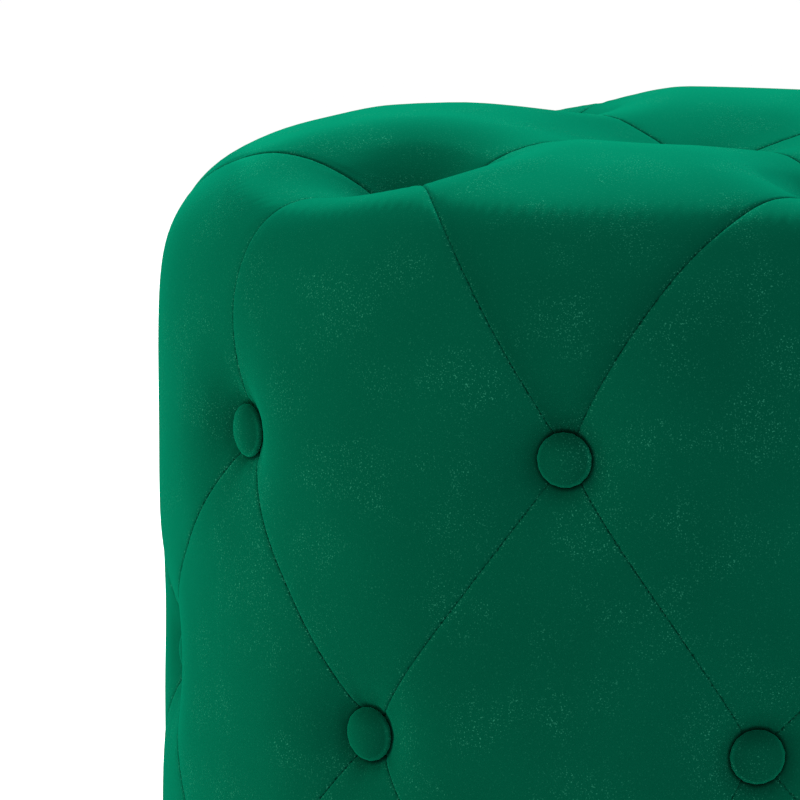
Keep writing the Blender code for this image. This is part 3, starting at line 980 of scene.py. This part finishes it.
# %% One node at a time
def math_node(group, operation, first, second):
    """A Math node; each of its inputs is a socket or a number."""
    node = group.nodes.new("ShaderNodeMath")
    node.operation = operation
    for place, value in zip(node.inputs, (first, second)):
        if isinstance(value, (int, float)):
            place.default_value = value
        else:
            group.links.new(value, place)
    return node.outputs[0]


def from_to(group, value, low, high):
    """Low where the value is 0 and high where it is 1."""
    return math_node(group, "ADD", math_node(group, "MULTIPLY", value, high - low), low)


def noise(group, vector, scale, detail):
    """A Noise Texture node's value; the scale is a socket or a number."""
    node = group.nodes.new("ShaderNodeTexNoise")
    node.inputs["Detail"].default_value = detail
    group.links.new(vector, node.inputs["Vector"])
    if isinstance(scale, (int, float)):
        node.inputs["Scale"].default_value = scale
    else:
        group.links.new(scale, node.inputs["Scale"])
    return node.outputs["Fac"]


def ramp(group, value, low, high):
    """Smooth step from 0 at low to 1 at high."""
    node = group.nodes.new("ShaderNodeMapRange")
    node.interpolation_type = "SMOOTHSTEP"
    node.inputs["From Min"].default_value = low
    node.inputs["From Max"].default_value = high
    group.links.new(value, node.inputs["Value"])
    return node.outputs["Result"]


helpers = (math_node, from_to, noise, ramp)
print("helpers that add nodes:", [helper.__name__ for helper in helpers])

# %% The pile, as a node group
PILE_SCALES = {
    "Fleck Scale": 1500.0,
    "Rough Scale": 800.0,
    "Patch Scale": 34.0,
    "Shade Scale": 9.0,
}
PATCH_FROM = (0.46, 0.68)   # noise values from which a patch is ruffled
FLECK_FROM = (0.60, 0.76)   # the same for a fleck
SPARSE_FLECKS = 0.20        # strength of the flecks outside the patches
SPARSE_RUFFLE = 0.4         # height of the pile there; it is 1 more in a patch


def new_group(name, inputs, outputs):
    """An empty shader group of numbers: its inputs with values, its outputs."""
    group = bpy.data.node_groups.new(name, "ShaderNodeTree")
    number = "NodeSocketFloat"
    for label, value in inputs.items():
        socket = group.interface.new_socket(label, in_out="INPUT", socket_type=number)
        socket.default_value = value
    for label in outputs:
        group.interface.new_socket(label, in_out="OUTPUT", socket_type=number)
    start = group.nodes.new("NodeGroupInput")
    end = group.nodes.new("NodeGroupOutput")
    return group, start, end


def pile_group():
    """Velvet pile: the flecks, mostly in ruffled patches, the grain they are
    made of, a rougher grain, a slow shade and a height."""
    names = ("Flecks", "Grain", "Rough", "Shade", "Height")
    group, start, end = new_group("velvet_pile", PILE_SCALES, names)
    place = group.nodes.new("ShaderNodeTexCoord").outputs["Object"]
    fine = noise(group, place, start.outputs["Fleck Scale"], 1.0)
    rough = noise(group, place, start.outputs["Rough Scale"], 2.0)
    ruffled = noise(group, place, start.outputs["Patch Scale"], 2.0)
    shade = noise(group, place, start.outputs["Shade Scale"], 3.0)
    patch = ramp(group, ruffled, *PATCH_FROM)
    grain = ramp(group, fine, *FLECK_FROM)
    sparse = from_to(group, patch, SPARSE_FLECKS, 1.0)
    flecks = math_node(group, "MULTIPLY", grain, sparse)
    height = math_node(group, "MULTIPLY", fine, math_node(group, "ADD", patch, SPARSE_RUFFLE))
    for name, value in zip(names, (flecks, grain, rough, shade, height)):
        group.links.new(value, end.inputs[name])
    return group


PILE = pile_group()
print("made the node group", PILE.name)

# %% [markdown]
# ## Painted shade at the seams and buttons
#
# The groove of a seam gets a thin dark line of painted shade at its bottom.  Round
# a button there is a dark ring of painted shadow, where the cloth goes in under it,
# and a little further out a halo of painted shade.  A painted image could show
# them, but it would have to be unwrapped and would blur close up.  The mesh knows
# at each point how far its seam and its button are, so the shader can draw them sharp.

# %% Painted shade at the seams and buttons
SEAM_PAINTED_SHADE = 0.22             # painted shade: the dark line at the bottom of a seam's groove
SEAM_SHADE_EDGE = (0.0002, 0.0008)  # distance from the seam where it ends
SEAM_SHADE_UNEVEN = (-0.0012, 0.0020)   # how far the grain moves that edge
RING_PAINTED_SHADOW = 0.15               # painted shadow: the dark ring round a button
RING_EDGE = (0.0118, 0.0143)    # distance from the button's middle where it ends
HALO_PAINTED_SHADE = 0.74               # painted shade round that ring
HALO_EDGE = (0.0120, 0.0230)


def attribute(tree, name):
    """Value of one of the mesh's measures."""
    node = tree.nodes.new("ShaderNodeAttribute")
    node.attribute_name = name
    return node.outputs["Fac"]


def painted_seam_shade(tree, grain):
    """Painted shade of the cover at its seams and buttons: a dark line in the
    groove with an uneven edge, weak where the seam is closed, and round a button a
    dark ring of painted shadow and, a little further out, a halo of painted shade."""
    away = attribute(tree, "seam_away")
    uneven = math_node(tree, "ADD", away, from_to(tree, grain, *SEAM_SHADE_UNEVEN))
    line = from_to(tree, ramp(tree, uneven, *SEAM_SHADE_EDGE), SEAM_PAINTED_SHADE, 1.0)
    closed = math_node(tree, "SUBTRACT", 1.0, attribute(tree, "seam_open"))
    line = math_node(tree, "MAXIMUM", line, closed)
    from_button = attribute(tree, "button_away")
    ring = from_to(tree, ramp(tree, from_button, *RING_EDGE), RING_PAINTED_SHADOW, 1.0)
    halo = from_to(tree, ramp(tree, from_button, *HALO_EDGE), HALO_PAINTED_SHADE, 1.0)
    round_button = math_node(tree, "MULTIPLY", ring, halo)
    return math_node(tree, "MULTIPLY", line, round_button)


print("the stitches have", SEAM_PAINTED_SHADE, "of the velvet's own shade")

# %% The velvet materials
VELVET_BASE = (0.0004, 0.054, 0.029, 1.0)
VELVET_FLECK = (0.020, 0.175, 0.110, 1.0)
SHEEN_TINT = (0.003, 1.0, 0.56, 1.0)
SLOW_SHADE = (0.75, 1.25)       # the slow change of shade over the cover
PARTED_EDGE = (0.0008, 0.0026)  # where the pile beside the stitches is whole again


def new_material(name, roughness):
    """A material with a Principled shader, its node tree and the shader."""
    material = bpy.data.materials.new(name)
    material.use_nodes = True
    shader = material.node_tree.nodes["Principled BSDF"]
    shader.inputs["Roughness"].default_value = roughness
    return material, material.node_tree, shader


def add_bump(tree, shader, height, strength, distance):
    """Bends the shader's normal by a height."""
    bump = tree.nodes.new("ShaderNodeBump")
    bump.inputs["Strength"].default_value = strength
    bump.inputs["Distance"].default_value = distance
    tree.links.new(height, bump.inputs["Height"])
    tree.links.new(bump.outputs["Normal"], shader.inputs["Normal"])


def mix_colours(tree, factor, first, second):
    """A Mix node: the first colour where the factor is 0, the second at 1."""
    node = tree.nodes.new("ShaderNodeMix")
    node.data_type = "RGBA"
    low, high = [socket for socket in node.inputs if socket.type == "RGBA"]
    low.default_value = first
    high.default_value = second
    tree.links.new(factor, node.inputs[0])
    return [socket for socket in node.outputs if socket.type == "RGBA"][0]


def scaled(tree, colour, factor):
    """A colour times a number."""
    node = tree.nodes.new("ShaderNodeVectorMath")
    node.operation = "SCALE"
    tree.links.new(colour, node.inputs[0])
    tree.links.new(factor, node.inputs["Scale"])
    return node.outputs[0]


def velvet(name, sewn):
    """Green velvet: base and fleck colours mixed by the pile's flecks, shaded
    slowly and by the mesh's painted light and shade, with the pile's height as a
    bump.  The cover's is sewn: it has painted shade at its seams and buttons, and
    more flecks beside the seams where the pile is parted."""
    material, tree, shader = new_material(name, 0.85)
    shader.inputs["Specular IOR Level"].default_value = 0.0
    shader.inputs["Sheen Weight"].default_value = 0.20
    shader.inputs["Sheen Roughness"].default_value = 0.55
    shader.inputs["Sheen Tint"].default_value = SHEEN_TINT
    pile = tree.nodes.new("ShaderNodeGroup")
    pile.node_tree = PILE
    flecks = pile.outputs["Flecks"]
    if sewn:
        past = ramp(tree, attribute(tree, "seam_away"), *PARTED_EDGE)
        beside = math_node(tree, "SUBTRACT", 1.0, past)
        parted = math_node(tree, "MULTIPLY", pile.outputs["Grain"], beside)
        flecks = math_node(tree, "ADD", flecks, parted)
    colour = mix_colours(tree, flecks, VELVET_BASE, VELVET_FLECK)
    shade = from_to(tree, pile.outputs["Shade"], *SLOW_SHADE)
    # painted light and shade from the mesh's measure
    shade = math_node(tree, "MULTIPLY", shade, attribute(tree, "painted_light"))
    if sewn:
        # painted shade at the seams and buttons
        shade = math_node(tree, "MULTIPLY", shade, painted_seam_shade(tree, pile.outputs["Rough"]))
    tree.links.new(scaled(tree, colour, shade), shader.inputs["Base Color"])
    add_bump(tree, shader, pile.outputs["Height"], 0.35, 0.0004)
    return material


cover_velvet = velvet("velvet_sewn", sewn=True)
button_velvet = velvet("velvet_button", sewn=False)
print("velvets:", cover_velvet.name, button_velvet.name)

# %% [markdown]
# ## The base board
#
# The board under the drum is covered with thin black non-woven cloth.  It could be
# modelled anew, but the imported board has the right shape, so it only gets a
# material: fine crossed fibres as a bump and a slight change of shade.

# %% Black base cloth
CLOTH_DARK = (0.008, 0.008, 0.009, 1.0)
CLOTH_LIGHT = (0.030, 0.030, 0.032, 1.0)
FIBRE_SCALE = 900.0


def base_cloth():
    """Near-black cloth with fine fibres as a bump and a change of shade."""
    material, tree, shader = new_material("base_cloth_black", 0.9)
    place = tree.nodes.new("ShaderNodeTexCoord").outputs["Object"]
    fibre = noise(tree, place, FIBRE_SCALE, 4.0)
    colour = mix_colours(tree, fibre, CLOTH_DARK, CLOTH_LIGHT)
    tree.links.new(colour, shader.inputs["Base Color"])
    add_bump(tree, shader, fibre, 0.5, 0.0003)
    return material


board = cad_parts["base_board"]
board.data.materials.clear()
board.data.materials.append(base_cloth())
print("the board's material is", board.data.materials[0].name)

# %% [markdown]
# ## Putting the pieces on the frame
#
# Each piece rides on the root body, and the imported node that it stands for is hidden.

# %% Place the pieces
cover_piece = link("velvet_cover", body_mesh, cover_velvet)
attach(cover_piece, "root")
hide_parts("tufted_body")

for name, mesh in button_meshes.items():
    piece = link(f"covered_{name}", mesh, button_velvet)
    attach(piece, "root")
    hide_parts(name)
print("pieces placed:", 1 + len(button_meshes))

# %% [markdown]
# ## The studio
#
# A plain white floor in a bright white room, which lights all sides.  One large
# soft box behind and above puts the sheen on the top, and a weaker, greenish one
# at the left lights that side of the drum.  An image of a real room could light it
# too, but it would be one more file, and its windows would tint the velvet.

# %% Floor and room
FLOOR_SIZE = 40.0
ROOM_LIGHT = 1.09


def white_floor():
    """A plain square floor under the footstool."""
    half = 0.5 * FLOOR_SIZE
    corners = [(-half, -half, 0.0), (half, -half, 0.0), (half, half, 0.0), (-half, half, 0.0)]
    mesh = bpy.data.meshes.new("floor")
    mesh.from_pydata(corners, [], [(0, 1, 2, 3)])
    material, _, shader = new_material("floor_white", 1.0)
    shader.inputs["Base Color"].default_value = (0.92, 0.92, 0.92, 1.0)
    shader.inputs["Specular IOR Level"].default_value = 0.0
    return link("floor", mesh, material)


white_floor()
room = bpy.data.worlds.new("room")
room.use_nodes = True
room.node_tree.nodes["Background"].inputs["Color"].default_value = (1.0, 1.0, 1.0, 1.0)
room.node_tree.nodes["Background"].inputs["Strength"].default_value = ROOM_LIGHT
bpy.context.scene.world = room
bpy.context.scene.view_settings.view_transform = "Standard"
print("room light:", ROOM_LIGHT)


# %% Soft boxes
def soft_box(name, place, size, power, colour):
    """A square area light that faces the middle of the footstool."""
    data = bpy.data.lights.new(name, "AREA")
    data.shape = "SQUARE"
    data.size = size
    data.energy = power
    data.color = colour
    lamp = bpy.data.objects.new(name, data)
    lamp.location = place
    aim = Vector((0.0, 0.0, 0.35)) - Vector(place)
    lamp.rotation_euler = aim.to_track_quat("-Z", "Y").to_euler()
    bpy.context.scene.collection.objects.link(lamp)
    return lamp


soft_box("soft_box_back", (-0.3, 2.0, 1.8), 1.4, 80.0, (1.0, 1.0, 1.0))
soft_box("soft_box_left", (-2.1, -0.7, 1.3), 1.4, 17.5, (1.0, 0.98, 0.50))
print("two soft boxes")

# %% [markdown]
# ## The camera
#
# A long lens, a little above the top and a little to the right of the front, so
# the top shows as a thin ellipse.  From nearer by with a shorter lens, the side
# would narrow towards the floor.

# %% Camera
CAMERA_TURN = math.radians(13.18)
CAMERA_DISTANCE = 2.400
CAMERA_HEIGHT = 0.725
CAMERA_PAN = math.radians(3.10)
CAMERA_TILT = math.radians(-9.55)
FILM_WIDTH = 36.0
LENS = 237.7

data = bpy.data.cameras.new("camera")
data.sensor_width = FILM_WIDTH
data.lens = LENS
data.clip_end = 100.0
camera = bpy.data.objects.new("camera", data)
camera.location = (
    CAMERA_DISTANCE * math.sin(CAMERA_TURN),
    -CAMERA_DISTANCE * math.cos(CAMERA_TURN),
    CAMERA_HEIGHT,
)
yaw = CAMERA_TURN + CAMERA_PAN
aim = Vector((
    -math.sin(yaw) * math.cos(CAMERA_TILT),
    math.cos(yaw) * math.cos(CAMERA_TILT),
    math.sin(CAMERA_TILT),
))
camera.rotation_euler = aim.to_track_quat("-Z", "Y").to_euler()
bpy.context.scene.collection.objects.link(camera)
bpy.context.scene.camera = camera
print("camera at", [round(value, 3) for value in camera.location])
